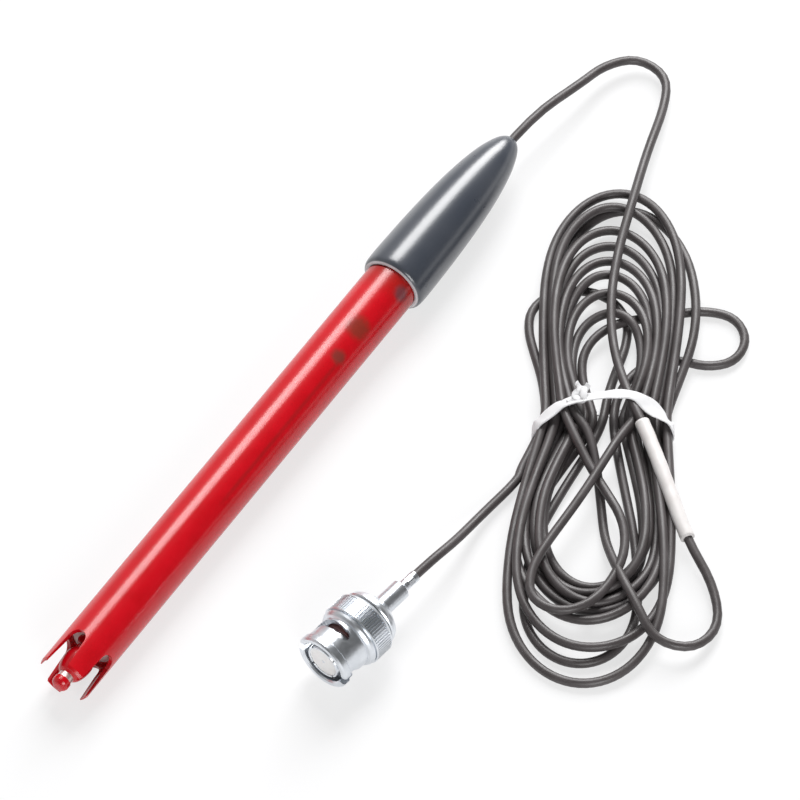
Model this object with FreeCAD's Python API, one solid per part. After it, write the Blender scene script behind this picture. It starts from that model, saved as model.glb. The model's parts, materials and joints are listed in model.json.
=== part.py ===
import FreeCAD, Part
import math
import os

V = FreeCAD.Vector

# Main sizes of the electrode, in millimetres, measured along its axis from the tips of the guard's prongs
TUBE_R = 6.0
SHAFT_LENGTH = 120.0
CAP_LENGTH = 46.5
CAP_R = 7.5
CAP_WIDEST = 4.0
CAP_LIP = 1.2

# Body tube and its guard
GUARD_WALL = 0.9
GUARD_DEPTH = 9.6
FLOOR_WALL = 2.4
TUBE_WALL = 1.1
PRONGS = 4
SLOT_DEPTH = 9.0
SLOT_HALF = 2.05
SLOT_FLARE = 0.75
PRONG_TIP_WALL = 0.5
PRONG_ANGLE = 30.0
GUARD_LIP_R = 4.6
GUARD_LIP = 0.4
TUBE_IN_CAP = 10.0
SPIGOT_R = 5.7
RIM_GAP = 0.5

# Sensor at the tip
STEM_R = 3.2
STEM_END = 1.2
BULB_AT = 5.2
WAIST_AT = 8.5
WAIST_R = 2.45
NECK_R = 1.1
BAND_R = 1.65
BAND_WIDTH = 1.2
END_PIECE_R = 1.85
END_PIECE_OUT = 2.1
END_SOCKET = 0.8
FLANGE_R = 4.05
FLANGE_THICK = 1.0
STEM_TOP = 2.0
SEAL_R = 0.45

# Inside the body tube
GLASS_R = 2.5
GLASS_BORE_R = 1.5
GLASS_SEAT = 1.2
GLASS_TOP = SHAFT_LENGTH - 7.0
PT_WIRE_R = 0.2
PT_FOOT_R = 0.16
STOPPER_START = SHAFT_LENGTH - 19.0
STOPPER_LENGTH = 7.0
REF_OFFSET = 3.7
REF_WIRE_R = 0.25
REF_PELLET_R = 0.6
REF_PELLET_START = 47.0
REF_PELLET_LENGTH = 12.0
REF_ENTRY = 3.0
WIRE_END = SHAFT_LENGTH + 17.0

# Inside the cap
CAVITY_R = 5.3
CAVITY_LENGTH = 16.0
GRIP_R = 2.4
GRIP_LENGTH = 6.0
NOSE_BORE = 8.5
SPLICE_R = 0.8
SPLICE_LENGTH = 6.0
SPLICE_OVERLAP = 3.0
CORE_R = 0.5
SCREEN_R = 0.4

# Cable
CABLE_R = 1.0
CABLE_START = 4.5
LEAD_STRAIGHT = 8.0
TAIL_STRAIGHT = 5.0
SLEEVE_WALL = 0.3
SLEEVE_LENGTH = 30.0
SLEEVE_RUN = 13
HANK_HEIGHT = 5.0

# Tie round the hank
TIE_THICK = 0.5
TIE_WIDTH = 2.6
TIE_INNER = 27.0
TIE_CENTRE = (37.0, -54.7)
TIE_ANGLE = -60.8
KNOT_OFFSET = -5.5
KNOT_R = 2.0
TIE_END_LENGTH = 8.0

# Plug, measured along its axis from the front of the coupling nut
LIP_R = 6.45
LIP_LENGTH = 1.6
NUT_FRONT_R = 6.05
NUT_FRONT = 7.3
NUT_BORE_R = 4.95
FLARE_R = 7.0
FLARE_LENGTH = 1.4
GROOVE_DEPTH = 0.3
GROOVE_WIDTH = 0.3
KNURL_R = 7.3
KNURL_LENGTH = 3.9
KNURL_BAND = 0.3
KNURL_RIBS = 72
KNURL_DEPTH = 0.3
SHOULDER_R = 6.85
SHOULDER = 1.0
WEB_START = 8.0
WEB_THICK = 1.0
REAR_BORE_R = 5.6
SLOT_R = 1.05
SLOT_ENTRY = 2.6
SLOT_DEEP = 5.8
SLOT_LOCK = 5.3
SLOT_ANGLE = -81.0
SLOT_TURN = 95.0
LOCK_R = 1.25
RUN_FIT = 0.08
END_GAP = 0.1
NUT_TRAVEL = 0.9

PLUG_FLANGE_R = 5.52
PLUG_FLANGE = 1.2
HUB_R = 4.2
CONTACT_R = 4.03
CONTACT_BORE_R = 3.5
CONTACT_FRONT = 0.3
CONTACT_SLOTS = 4
CONTACT_SLOT_W = 0.5
CONTACT_SLOT_DEPTH = 5.5
GASKET_R = 4.7
GASKET_THICK = 0.8
WASHER_T = 0.4
WAVE_HEIGHT = 0.45
WAVE_T = 0.2
WAVES = 3
RING_T = 0.6
RING_GRIP = 0.35
RING_GAP_DEG = 30.0
INSULATOR_FRONT = 0.5
PIN_R = 0.68
PIN_FRONT = 0.35
PIN_SHANK_R = 0.9
DOME_GAP = 0.3
DOME_R = 6.5
DOME_LENGTH = 3.9
BARREL_R = 2.15
BARREL_LENGTH = 6.6
FERRULE_R = 1.25
FERRULE_LENGTH = 3.9
FERRULE_IN = 2.0
CABLE_IN_PLUG = 4.0
PLUG_YAW = -7.5
PLUG_AT = (-50.5, -41.9)

# Worked out from the sizes above
CAP_START = SHAFT_LENGTH
NOSE = SHAFT_LENGTH + CAP_LENGTH
GUARD_BORE_R = TUBE_R - GUARD_WALL
CHAMBER_R = TUBE_R - TUBE_WALL
CHAMBER_START = GUARD_DEPTH + FLOOR_WALL
TUBE_END = CAP_START + TUBE_IN_CAP
FLANGE_START = CHAMBER_START + 2 * SEAL_R
STEM_BACK = FLANGE_START + FLANGE_THICK + STEM_TOP
GRIP_START = NOSE - NOSE_BORE - GRIP_LENGTH
CABLE_EXIT = NOSE - CABLE_START
JUNCTION_START = GUARD_DEPTH + GUARD_LIP
GROOVE_START = NUT_FRONT + FLARE_LENGTH
KNURL_START = GROOVE_START + GROOVE_WIDTH + KNURL_BAND
KNURL_END = KNURL_START + KNURL_LENGTH
NUT_END = KNURL_END + SHOULDER
HUB_FRONT = WEB_START - NUT_TRAVEL - END_GAP
FLANGE_X = WEB_START + WEB_THICK + END_GAP
FLANGE_END = FLANGE_X + PLUG_FLANGE
WAVE_X = FLANGE_END + NUT_TRAVEL + END_GAP
WASHER_X = WAVE_X + WAVE_HEIGHT
RING_X = WASHER_X + WASHER_T + END_GAP
DOME_START = NUT_END + DOME_GAP
BARREL_START = DOME_START + DOME_LENGTH
BARREL_END = BARREL_START + BARREL_LENGTH
FERRULE_START = BARREL_END - FERRULE_IN
FERRULE_END = BARREL_END + FERRULE_LENGTH
CABLE_PLUG_X = FERRULE_END - FERRULE_IN - CABLE_IN_PLUG

# How the electrode lies on the floor: on its cap and its tip
TILT = math.degrees(math.atan((CAP_R - TUBE_R) / (CAP_START + CAP_WIDEST)))
MIDDLE = (NOSE - END_PIECE_OUT) / 2.0


def electrode_place():
    """The electrode's axis runs along +X from tip to cap and rises a little; its middle is over the origin."""
    t = math.radians(TILT)
    turn = FreeCAD.Rotation(V(0, 1, 0), -TILT)
    return FreeCAD.Placement(V(-MIDDLE * math.cos(t), 0, TUBE_R * math.cos(t)), turn)


def plug_place():
    """The plug lies level on the nut's ribs; its axis runs from its front to the cable, turned on the floor."""
    return FreeCAD.Placement(V(PLUG_AT[0], PLUG_AT[1], KNURL_R), FreeCAD.Rotation(V(0, 0, 1), PLUG_YAW))


def rod(x0, x1, r, y=0.0, z=0.0):
    """A cylinder along X."""
    return Part.makeCylinder(r, x1 - x0, V(x0, y, z), V(1, 0, 0))


def ring(x0, x1, outer, inner):
    """A tube along X."""
    return rod(x0, x1, outer).cut(rod(x0 - 1.0, x1 + 1.0, inner))


def turned(points):
    """A solid turned about X from its outline in (x, radius) pairs."""
    line = [V(x, 0, r) for x, r in points]
    face = Part.Face(Part.makePolygon(line + [line[0]]))
    return face.revolve(V(0, 0, 0), V(1, 0, 0), 360)


def fused(shapes):
    """One solid from several that touch or overlap."""
    return shapes[0].multiFuse(shapes[1:]).removeSplitter()


def around_x(shape, degrees):
    """A copy turned about the X axis."""
    copy = shape.copy()
    copy.rotate(V(0, 0, 0), V(1, 0, 0), degrees)
    return copy


def cord_path(points):
    """Straight runs joined by arcs tangent to both; each arc takes 0.45 of the shorter run beside it."""
    p = [V(*q) for q in points]
    edges = []
    radii = []
    start = p[0]
    for k in range(1, len(p) - 1):
        back = p[k - 1] - p[k]
        ahead = p[k + 1] - p[k]
        reach = 0.45 * min(back.Length, ahead.Length)
        back.normalize()
        ahead.normalize()
        half = (math.pi - back.getAngle(ahead)) / 2.0
        radius = reach / math.tan(half)
        radii.append(round(radius, 1))
        a = p[k] + back * reach
        b = p[k] + ahead * reach
        inward = (back + ahead)
        inward.normalize()
        mid = p[k] + inward * (radius / math.cos(half) - radius)
        edges.append(Part.LineSegment(start, a).toShape())
        edges.append(Part.Arc(a, mid, b).toShape())
        start = b
    edges.append(Part.LineSegment(start, p[-1]).toShape())
    return Part.Wire(edges), radii


def cord_tube(path, radius):
    """A round bar swept along a path."""
    first = path.Edges[0]
    at = first.valueAt(first.FirstParameter)
    way = first.tangentAt(first.FirstParameter)
    section = Part.Wire([Part.makeCircle(radius, at, way)])
    return path.makePipeShell([section], True, True)


def body_tube():
    """The moulded tube: guard prongs at the tip, a lip that holds the ring behind it, the chamber, and a spigot."""
    rim = CAP_START - RIM_GAP
    outer = turned([
        (0, 0), (0, TUBE_R - 0.25), (0.6, TUBE_R), (rim, TUBE_R), (rim, SPIGOT_R), (TUBE_END, SPIGOT_R),
        (TUBE_END, 0),
    ])
    mouth = turned([
        (-1, 0), (-1, TUBE_R - PRONG_TIP_WALL + 0.1), (0, TUBE_R - PRONG_TIP_WALL),
        (GUARD_DEPTH * 0.6, GUARD_BORE_R), (GUARD_DEPTH, GUARD_BORE_R), (GUARD_DEPTH, 0),
    ])
    shape = outer.cut(mouth)
    shape = shape.cut(rod(JUNCTION_START, TUBE_END + 1, CHAMBER_R))
    shape = shape.cut(rod(GUARD_DEPTH - 1, JUNCTION_START + 1, GUARD_LIP_R))
    root = SLOT_DEPTH - SLOT_HALF
    wide = SLOT_HALF + SLOT_FLARE
    low = (STEM_R + GUARD_BORE_R) / 2
    tall = TUBE_R + 1 - low
    outline = [V(root, -SLOT_HALF, low), V(-1, -wide, low), V(-1, wide, low), V(root, SLOT_HALF, low)]
    wedge = Part.Face(Part.makePolygon(outline + [outline[0]])).extrude(V(0, 0, tall))
    slot = fused([wedge, Part.makeCylinder(SLOT_HALF, tall, V(root, 0, low), V(0, 0, 1))])
    slots = []
    for k in range(PRONGS):
        slots.append(around_x(slot, PRONG_ANGLE + (k + 0.5) * 360.0 / PRONGS))
    return shape.cut(Part.makeCompound(slots))


def junction():
    """The porous ring between the stem and the tube's wall, which closes the chamber."""
    return ring(JUNCTION_START, CHAMBER_START, CHAMBER_R, STEM_R)


def platinum_lead():
    """Wire on the axis, with its end turned out to the band."""
    foot = Part.makeCylinder(PT_FOOT_R, NECK_R, V(BAND_WIDTH / 2, 0, 0), V(0, 0, 1))
    return fused([rod(BAND_WIDTH / 2 - 2 * PT_WIRE_R, WIRE_END, PT_WIRE_R), foot])


def bulb_line():
    """Outline of the stem's bulb: a quarter of an ellipse up to its widest, then half a wave down to the waist."""
    line = []
    for k in range(7):
        a = math.radians(90.0 * k / 6)
        x = STEM_END + (BULB_AT - STEM_END) * (1 - math.cos(a))
        line.append(V(x, 0, BAND_R + (STEM_R - BAND_R) * math.sin(a)))
    for k in range(1, 7):
        x = BULB_AT + (WAIST_AT - BULB_AT) * k / 6
        line.append(V(x, 0, STEM_R - (STEM_R - WAIST_R) * (1 - math.cos(math.pi * k / 6)) / 2))
    return line


def sensor_stem():
    """The stem: neck for the band, bulb and waist in the guard, flange and socket inside the chamber."""
    line = bulb_line()
    curve = Part.BSplineCurve()
    curve.interpolate(line)
    flange_end = FLANGE_START + FLANGE_THICK
    behind = [
        (WAIST_AT, WAIST_R), (GUARD_DEPTH, STEM_R), (FLANGE_START, STEM_R), (FLANGE_START, FLANGE_R),
        (flange_end, FLANGE_R), (flange_end, STEM_R), (STEM_BACK, STEM_R), (STEM_BACK, 0), (-END_SOCKET, 0),
        (-END_SOCKET, NECK_R), (STEM_END, NECK_R), (STEM_END, BAND_R),
    ]
    straight = Part.makePolygon([V(x, 0, r) for x, r in behind])
    outline = Part.Wire([curve.toShape()] + straight.Edges)
    shape = Part.Face(outline).revolve(V(0, 0, 0), V(1, 0, 0), 360)
    shape = shape.cut(rod(STEM_BACK - GLASS_SEAT, STEM_BACK + 1, GLASS_R))
    return shape.cut(platinum_lead())


def end_piece():
    """The rounded piece in front of the band, with a socket for the stem's neck."""
    outline = [(-END_PIECE_OUT, 0), (-END_PIECE_OUT, END_PIECE_R * 0.45)]
    outline += [(-END_PIECE_OUT * 0.93, END_PIECE_R * 0.7), (-END_PIECE_OUT * 0.78, END_PIECE_R * 0.88)]
    outline += [(-END_PIECE_OUT * 0.55, END_PIECE_R), (-0.15, END_PIECE_R), (0, END_PIECE_R - 0.15), (0, 0)]
    return turned(outline).cut(rod(-END_SOCKET, 1, NECK_R))


def stem_seal():
    """The round sealing ring between the stem's flange and the chamber's floor."""
    return Part.makeTorus(STEM_R + SEAL_R, SEAL_R, V(CHAMBER_START + SEAL_R, 0, 0), V(1, 0, 0))


def reference_wire():
    """Straight wire beside the glass tube, from the pellet to the cap."""
    start = REF_PELLET_START + REF_PELLET_LENGTH - REF_ENTRY
    return rod(start, WIRE_END, REF_WIRE_R, 0, -REF_OFFSET)


def reference_pellet():
    """The coated rod on the end of the reference wire."""
    end = REF_PELLET_START + REF_PELLET_LENGTH
    return rod(REF_PELLET_START, end, REF_PELLET_R, 0, -REF_OFFSET).cut(reference_wire())


def glass_tube():
    """The inner tube, seated in the stem and held by the stopper."""
    return ring(STEM_BACK - GLASS_SEAT, GLASS_TOP, GLASS_R, GLASS_BORE_R)


def gel():
    """The filling: the chamber less all that stands in it."""
    shape = rod(CHAMBER_START, STOPPER_START, CHAMBER_R)
    solid_stem = turned([
        (CHAMBER_START, 0), (CHAMBER_START, STEM_R), (FLANGE_START, STEM_R), (FLANGE_START, FLANGE_R),
        (FLANGE_START + FLANGE_THICK, FLANGE_R), (FLANGE_START + FLANGE_THICK, STEM_R),
        (STEM_BACK, STEM_R), (STEM_BACK, GLASS_R), (STOPPER_START, GLASS_R), (STOPPER_START, 0),
    ])
    pellet = rod(REF_PELLET_START, REF_PELLET_START + REF_PELLET_LENGTH, REF_PELLET_R, 0, -REF_OFFSET)
    wire = rod(REF_PELLET_START + REF_PELLET_LENGTH, STOPPER_START, REF_WIRE_R, 0, -REF_OFFSET)
    behind_seal = ring(CHAMBER_START, FLANGE_START, STEM_R + SEAL_R, STEM_R)
    for tool in (solid_stem, stem_seal(), behind_seal, pellet, wire):
        shape = shape.cut(tool)
    return shape


def stopper():
    """The plug that closes the chamber round the glass tube and the reference wire."""
    end = STOPPER_START + STOPPER_LENGTH
    shape = ring(STOPPER_START, end, CHAMBER_R, GLASS_R)
    return shape.cut(reference_wire())


def cap_profile():
    """Outline of the cap: distance from its rim, and radius, from parts of its length and of its widest radius."""
    parts = [
        (0.1935, 0.9933), (0.3011, 0.9693), (0.4194, 0.924), (0.5376, 0.86), (0.6452, 0.78), (0.7527, 0.6693),
        (0.8495, 0.5307), (0.9204, 0.3933), (0.9634, 0.2827),
    ]
    line = [(CAP_LENGTH * a, CAP_R * b) for a, b in parts]
    return [(CAP_LIP, CAP_R - 0.05), (CAP_WIDEST, CAP_R)] + line


def cap():
    """The bullet-shaped cap: rounded rim, socket for the tube, cavity for the splices and bore for the cable."""
    line = [V(CAP_START + x, 0, r) for x, r in cap_profile()]
    curve = Part.BSplineCurve()
    curve.interpolate(line)
    lip_in = V(CAP_START, 0, TUBE_R + 0.35)
    lip_mid = V(CAP_START + 0.3, 0, CAP_R - 0.38)
    nose_mid = V(NOSE - 0.45, 0, CABLE_R + 0.75)
    nose_out = V(NOSE, 0, CABLE_R + 0.15)
    edges = [
        Part.LineSegment(V(CAP_START, 0, 0), lip_in).toShape(),
        Part.Arc(lip_in, lip_mid, line[0]).toShape(),
        curve.toShape(),
        Part.Arc(line[-1], nose_mid, nose_out).toShape(),
        Part.LineSegment(nose_out, V(NOSE, 0, 0)).toShape(),
        Part.LineSegment(V(NOSE, 0, 0), V(CAP_START, 0, 0)).toShape(),
    ]
    shape = Part.Face(Part.Wire(edges)).revolve(V(0, 0, 0), V(1, 0, 0), 360)
    cavity_end = TUBE_END + CAVITY_LENGTH
    inside = turned([
        (CAP_START - 1, 0), (CAP_START - 1, SPIGOT_R), (TUBE_END, SPIGOT_R), (TUBE_END, CAVITY_R),
        (cavity_end, CAVITY_R), (GRIP_START, GRIP_R), (GRIP_START + GRIP_LENGTH, GRIP_R),
        (GRIP_START + GRIP_LENGTH, CABLE_R), (NOSE + 1, CABLE_R), (NOSE + 1, 0),
    ])
    return shape.cut(inside)


def cable_grip():
    """The ring crimped on the cable, which stops it from being pulled out of the cap."""
    return ring(GRIP_START, GRIP_START + GRIP_LENGTH, GRIP_R, CABLE_R)


def core_in_cap():
    """The cable's stripped core from the grip to the splice on the platinum lead."""
    return rod(WIRE_END, GRIP_START, CORE_R)


def centre_splice():
    """Crimped sleeve over the platinum lead and the core."""
    start = WIRE_END - SPLICE_OVERLAP
    shape = rod(start, start + SPLICE_LENGTH, SPLICE_R)
    return shape.cut(platinum_lead()).cut(core_in_cap())


def shield_splice():
    """Crimped sleeve over the reference wire and the cable's twisted screen."""
    start = WIRE_END - SPLICE_OVERLAP
    shape = rod(start, start + SPLICE_LENGTH, SPLICE_R, 0, -REF_OFFSET)
    return shape.cut(reference_wire()).cut(screen_tail())


def screen_tail():
    """The twisted screen of the cable, from the second splice back to the grip."""
    run = GRIP_START - WIRE_END
    side = GRIP_R - 2 * SCREEN_R
    points = [
        (WIRE_END, 0, -REF_OFFSET), (WIRE_END + 0.3 * run, 0, -REF_OFFSET),
        (WIRE_END + 0.63 * run, 0, -0.7 * REF_OFFSET), (GRIP_START - 0.07 * run, 0, -side - 0.1),
        (GRIP_START, 0, -side),
    ]
    path, radii = cord_path(points)
    return cord_tube(path, SCREEN_R)


def lead_points():
    """Route of the lead, chosen by hand: nose, loop beyond it, over the hank, through the tie, round its end."""
    place = electrode_place()
    first = place.multVec(V(CABLE_EXIT, 0, 0))
    second = place.multVec(V(NOSE + LEAD_STRAIGHT, 0, 0))
    over = HANK_HEIGHT + CABLE_R
    return [
        tuple(first), tuple(second), (108.0, -2.8, 5.4), (116.0, -3.6, 3.8), (122.8, -8.0, 2.6),
        (122.4, -16.0, 2.0), (114.6, -20.2, 2.4), (101.0, -24.2, over - 0.6), (86.0, -29.6, over),
        (72.9, -34.4, over + 0.2), (60.8, -40.3, over), (50.6, -47.6, over + 0.1), (42.6, -56.2, over),
        (36.0, -65.4, over + 0.35), (27.6, -75.6, over + 0.4), (18.6, -86.4, over + 0.35), (13.4, -96.0, 2.0),
        (5.6, -102.6, 1.4), (-3.2, -101.6, 1.3), (-6.6, -94.0, 1.3), (-1.6, -86.8, 1.5),
    ]


def lead_path():
    """Wire of the lead's route, with its radii."""
    return cord_path(lead_points())


def cable_lead():
    """The lead from the grip inside the cap to the hank."""
    path, radii = lead_path()
    inside = rod(GRIP_START, CABLE_EXIT, CABLE_R)
    inside.Placement = electrode_place()
    return fused([inside, cord_tube(path, CABLE_R)])


def marker_sleeve():
    """The shrunk sleeve on the lead, below the tie."""
    path, radii = lead_path()
    points = lead_points()
    a = V(*points[SLEEVE_RUN])
    b = V(*points[SLEEVE_RUN + 2])
    mid = (a + b) * 0.5
    way = b - a
    way.normalize()
    start = mid - way * (SLEEVE_LENGTH / 2)
    keep = Part.makeCylinder(6 * CABLE_R, SLEEVE_LENGTH, start, way)
    outer = cord_tube(path, CABLE_R + SLEEVE_WALL).common(keep)
    return outer.cut(cord_tube(path, CABLE_R))


def tail_points():
    """Route of the tail, chosen by hand: from the plug's ferrule down to the floor and into the hank."""
    place = plug_place()
    first = place.multVec(V(FERRULE_END - FERRULE_IN, 0, 0))
    second = place.multVec(V(FERRULE_END + TAIL_STRAIGHT, 0, 0))
    return [tuple(first), tuple(second), (-8.6, -47.0, 5.2), (2.0, -46.6, 1.9), (14.0, -48.0, 1.5)]


def cable_tail():
    """The tail from the hank to the plug, and the length of it inside the ferrule."""
    path, radii = cord_path(tail_points())
    inside = rod(CABLE_PLUG_X, FERRULE_END - FERRULE_IN, CABLE_R)
    inside.Placement = plug_place()
    return fused([inside, cord_tube(path, CABLE_R)])


def hank_outline():
    """Outline of the hank seen from above."""
    return [
        (87.3, -21.0), (80.3, -17.8), (68.6, -20.0), (58.3, -26.0), (50.0, -30.4), (41.6, -36.3),
        (34.6, -41.0), (27.5, -43.8), (17.6, -46.4), (5.2, -50.8), (-5.7, -56.7), (-15.6, -64.9),
        (-21.8, -74.3), (-22.6, -84.0), (-19.0, -90.9), (-12.6, -93.8), (-4.6, -93.2), (4.7, -90.0),
        (18.1, -83.0), (30.0, -75.2), (39.4, -69.2), (48.9, -64.8), (54.8, -63.6), (58.6, -65.6),
        (62.0, -68.6), (67.2, -70.2), (73.4, -67.0), (75.9, -60.4), (76.6, -54.2), (82.6, -48.6), (89.0, -41.0),
        (91.0, -31.1), (90.4, -24.6),
    ]


def tie_frame():
    """Placement of the tie: its local X runs across the hank, Y along it."""
    return FreeCAD.Placement(V(TIE_CENTRE[0], TIE_CENTRE[1], 0), FreeCAD.Rotation(V(0, 0, 1), TIE_ANGLE))


def tie_inner(depth):
    """The space inside the tie: over the hank's top and over the lead where it passes under."""
    half = TIE_INNER / 2
    low = HANK_HEIGHT - TIE_THICK
    high = HANK_HEIGHT + 2 * CABLE_R + 0.6
    lead = TIE_INNER * 0.222
    top = 2.3 * CABLE_R
    foot = 4.1 * CABLE_R
    points = [
        (-half, TIE_THICK), (-half, low - 0.8), (-half + 1.5, low), (lead - foot, low + 0.3),
        (lead - top, high), (lead + top, high), (lead + foot, low + 0.3), (half - 1.5, low),
        (half, low - 0.8), (half, TIE_THICK),
    ]
    line = [V(x, -depth / 2, z) for x, z in points]
    return Part.makePolygon(line + [line[0]])


def hank():
    """The hank as one closed solid of its outer shape, nipped in under the tie."""
    line = [V(x, y, 0) for x, y in hank_outline()]
    curve = Part.BSplineCurve()
    curve.interpolate(line, PeriodicFlag=True)
    face = Part.Face(Part.Wire([curve.toShape()]))
    shape = face.extrude(V(0, 0, HANK_HEIGHT))
    frame = tie_frame()
    reach = 1.5 * TIE_INNER
    room = Part.makeBox(2 * reach, TIE_WIDTH, 4 * HANK_HEIGHT, V(-reach, -TIE_WIDTH / 2, -HANK_HEIGHT))
    inner = Part.Face(tie_inner(TIE_WIDTH)).extrude(V(0, TIE_WIDTH, 0))
    band = room.cut(inner)
    band.Placement = frame
    return shape.cut(band)


def hank_tie():
    """The strip round the hank, with a knot on top and two short ends."""
    wire = tie_inner(TIE_WIDTH)
    outer = wire.makeOffset2D(TIE_THICK)
    strip = Part.Face(outer).extrude(V(0, TIE_WIDTH, 0))
    hole = Part.Face(wire).extrude(V(0, TIE_WIDTH, 0))
    band = strip.cut(hole)
    low = HANK_HEIGHT - TIE_THICK
    knot = Part.makeSphere(KNOT_R, V(KNOT_OFFSET, 0, low + KNOT_R * 0.9))
    size = 4 * KNOT_R
    under = Part.makeBox(2 * size, 2 * size, size, V(KNOT_OFFSET - size, -size, low + 0.2 - size))
    knot = knot.cut(under)
    ends = []
    for turn in (62.0, 112.0):
        end = Part.makeBox(TIE_END_LENGTH, TIE_WIDTH * 0.7, TIE_THICK, V(0, -TIE_WIDTH * 0.35, 0))
        end.rotate(V(0, 0, 0), V(0, 1, 0), -12.0)
        end.rotate(V(0, 0, 0), V(0, 0, 1), turn)
        end.translate(V(KNOT_OFFSET, 0, low + KNOT_R * 0.9))
        ends.append(end)
    shape = fused([band, knot] + ends)
    shape.Placement = tie_frame()
    return shape


def coupling_nut():
    """The bayonet sleeve: ribbed grip at the rear, two curved slots in front, a web that bears on the flange."""
    groove_end = GROOVE_START + GROOVE_WIDTH
    flare = FLARE_R - NUT_FRONT_R
    outer = turned([
        (0, 0), (0, LIP_R - 0.35), (0.35, LIP_R), (LIP_LENGTH, LIP_R), (LIP_LENGTH + 0.4, NUT_FRONT_R),
        (NUT_FRONT, NUT_FRONT_R), (NUT_FRONT + FLARE_LENGTH * 0.2, NUT_FRONT_R + flare * 0.55),
        (NUT_FRONT + FLARE_LENGTH * 0.6, NUT_FRONT_R + flare * 0.9), (GROOVE_START, FLARE_R),
        (GROOVE_START, FLARE_R - GROOVE_DEPTH), (groove_end, FLARE_R - GROOVE_DEPTH),
        (groove_end, KNURL_R - 0.2), (groove_end + 0.2, KNURL_R), (KNURL_END + 0.15, KNURL_R),
        (NUT_END - 0.3, SHOULDER_R), (NUT_END, SHOULDER_R - 0.3), (NUT_END, 0),
    ])
    ring_end = RING_X + RING_T
    web_bore = HUB_R + RUN_FIT
    inner = turned([
        (-1, 0), (-1, NUT_BORE_R + 0.3), (0, NUT_BORE_R + 0.3), (0.3, NUT_BORE_R), (WEB_START, NUT_BORE_R),
        (WEB_START, web_bore), (WEB_START + WEB_THICK, web_bore), (WEB_START + WEB_THICK, REAR_BORE_R),
        (RING_X, REAR_BORE_R), (RING_X, REAR_BORE_R + RING_GRIP), (ring_end, REAR_BORE_R + RING_GRIP),
        (ring_end, REAR_BORE_R), (NUT_END + 1, REAR_BORE_R), (NUT_END + 1, 0),
    ])
    shape = outer.cut(inner)
    cuts = []
    deep = KNURL_R - KNURL_DEPTH
    half = math.radians(360.0 / KNURL_RIBS) * 0.30 * KNURL_R
    tri = [V(0, -half, KNURL_R + 0.1), V(0, 0, deep), V(0, half, KNURL_R + 0.1)]
    tooth = Part.Face(Part.makePolygon(tri + [tri[0]])).extrude(V(KNURL_LENGTH, 0, 0))
    tooth.translate(V(KNURL_START, 0, 0))
    for k in range(KNURL_RIBS):
        cuts.append(around_x(tooth, k * 360.0 / KNURL_RIBS))
    shape = shape.cut(Part.makeCompound(cuts))
    for side in range(2):
        shape = shape.cut(bayonet_slot(SLOT_ANGLE + side * 180.0))
    return shape


def bayonet_slot(start):
    """A slot from the front edge, straight at first, then round a quarter turn, and back a little to its lock."""
    low = (NUT_BORE_R + HUB_R) / 2
    tall = LIP_R + 1 - low
    steps = 18
    pieces = []
    entry = Part.makeBox(SLOT_ENTRY + 1, 2 * SLOT_R, tall, V(-1, -SLOT_R, low))
    pieces.append(around_x(entry, start))
    for k in range(steps + 1):
        f = k / steps
        x = SLOT_ENTRY + (SLOT_DEEP - SLOT_ENTRY) * math.sin(min(1.0, 2 * f) * math.pi / 2)
        x -= (SLOT_DEEP - SLOT_LOCK) * max(0.0, f - 0.75) * 4
        r = LOCK_R if k == steps else SLOT_R
        cyl = Part.makeCylinder(r, tall, V(x, 0, low), V(0, 0, 1))
        pieces.append(around_x(cyl, start + SLOT_TURN * f))
    return pieces[0].multiFuse(pieces[1:])


def plug_body():
    """Slotted outer contact, flange, hub, rear dome and barrel, turned from one bar."""
    parts = [(0, 0.97), (0.08, 1), (0.25, 0.97), (0.42, 0.92), (0.62, 0.77), (0.8, 0.61), (0.95, 0.48), (1, 0.42)]
    dome = [(DOME_START + DOME_LENGTH * a, DOME_R * b) for a, b in parts]
    outline = [
        (CONTACT_FRONT, CONTACT_BORE_R), (CONTACT_FRONT, CONTACT_R - 0.15), (CONTACT_FRONT + 0.3, CONTACT_R),
        (HUB_FRONT, CONTACT_R), (HUB_FRONT, HUB_R), (FLANGE_X, HUB_R), (FLANGE_X, PLUG_FLANGE_R),
        (FLANGE_END, PLUG_FLANGE_R),
        (FLANGE_END, HUB_R), (DOME_START, HUB_R), *dome, (BARREL_START, BARREL_R), (BARREL_END - 0.6, BARREL_R),
        (BARREL_END, BARREL_R - 0.6), (BARREL_END, FERRULE_R), (FERRULE_START, FERRULE_R),
        (FERRULE_START, CABLE_R), (CABLE_PLUG_X, CABLE_R), (CABLE_PLUG_X, CABLE_R - 0.35),
        (FLANGE_END, CABLE_R - 0.35), (FLANGE_END, CONTACT_BORE_R),
    ]
    shape = turned(outline)
    for k in range(CONTACT_SLOTS // 2):
        cut = Part.makeBox(CONTACT_SLOT_DEPTH, CONTACT_SLOT_W, 20, V(CONTACT_FRONT - 1, -CONTACT_SLOT_W / 2, -10))
        shape = shape.cut(around_x(cut, 45 + k * 360.0 / CONTACT_SLOTS))
    return shape


def centre_pin():
    """The pin: rounded nose, slim front and a thicker shank held by the insulator."""
    end = FLANGE_END
    step = INSULATOR_FRONT + 1.5
    outline = [(PIN_FRONT, 0), (PIN_FRONT + 0.1, PIN_R * 0.5), (PIN_FRONT + 0.5, PIN_R), (step, PIN_R)]
    outline += [(step, PIN_SHANK_R), (end, PIN_SHANK_R), (end, 0)]
    return turned(outline).cut(rod(end - 2.0, end + 1, 0.3))


def insulator():
    """The white bush that holds the pin."""
    shape = rod(INSULATOR_FRONT, FLANGE_END, CONTACT_BORE_R)
    return shape.cut(centre_pin()).cut(rod(FLANGE_END - 2.0, FLANGE_END + 1, 0.3))


def gasket():
    """The soft ring at the foot of the outer contact."""
    return ring(HUB_FRONT - GASKET_THICK, HUB_FRONT, GASKET_R, CONTACT_R)


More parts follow.
